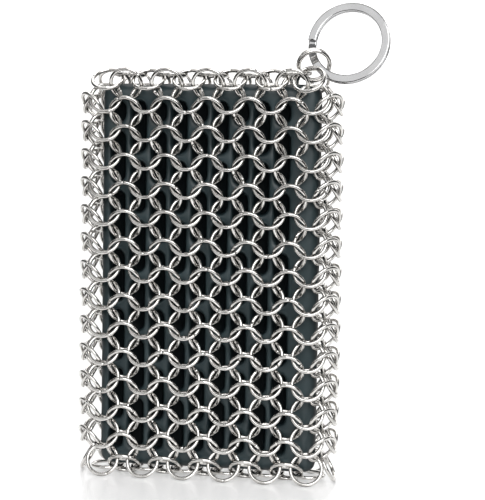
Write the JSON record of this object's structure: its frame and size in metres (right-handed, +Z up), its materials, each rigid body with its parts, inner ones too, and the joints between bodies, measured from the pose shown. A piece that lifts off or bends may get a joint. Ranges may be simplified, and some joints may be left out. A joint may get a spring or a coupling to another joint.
{
  "type": "pot scrubber",
  "caption": "Upright chainmail pot scrubber: linked steel rings around a slotted silicone core, with a split ring at one top corner to hang it by.",
  "frame": {"origin": "middle of the face the pad stands on, on the level of the lowest rings", "axes": "+X to the right along the pad's width, towards the corner with the split ring; -Y to the front; +Z up along the pad's height"},
  "size_m": [0.0936, 0.0188, 0.1448],
  "materials": {
    "silicone": "moulded dark slate silicone with a soft sheen",
    "mail_steel": "tumbled bright stainless wire",
    "ring_steel": "polished plated spring steel"
  },
  "bodies": {
    "pad": {"silicone_core": "silicone", "mail_band_01": "mail_steel", "mail_band_02": "mail_steel", "mail_band_03": "mail_steel", "mail_band_04": "mail_steel", "mail_band_05": "mail_steel", "mail_band_06": "mail_steel", "mail_band_07": "mail_steel", "mail_band_08": "mail_steel", "mail_band_09": "mail_steel", "mail_band_10": "mail_steel", "mail_band_11": "mail_steel", "mail_band_12": "mail_steel", "mail_band_13": "mail_steel", "mail_band_14": "mail_steel", "top_edge_rings": "mail_steel", "bottom_edge_rings": "mail_steel", "top_seam_rings": "mail_steel", "bottom_seam_rings": "mail_steel"},
    "hang_links": {"hang_links": "mail_steel"},
    "split_ring": {"split_ring": "ring_steel"}
  },
  "joints": [
    {"name": "link_swing", "type": "hinge", "parent": "pad", "child": "hang_links", "pos_m": [0.03077, 0, 0.12571], "axis": [0.2582, -0.8755, -0.4085], "range_deg": [-8, 90]},
    {"name": "ring_turn", "type": "hinge", "parent": "hang_links", "child": "split_ring", "pos_m": [0.04104, 0, 0.1322], "axis": [-0.158, -0.9553, 0.25], "continuous": true}
  ]
}
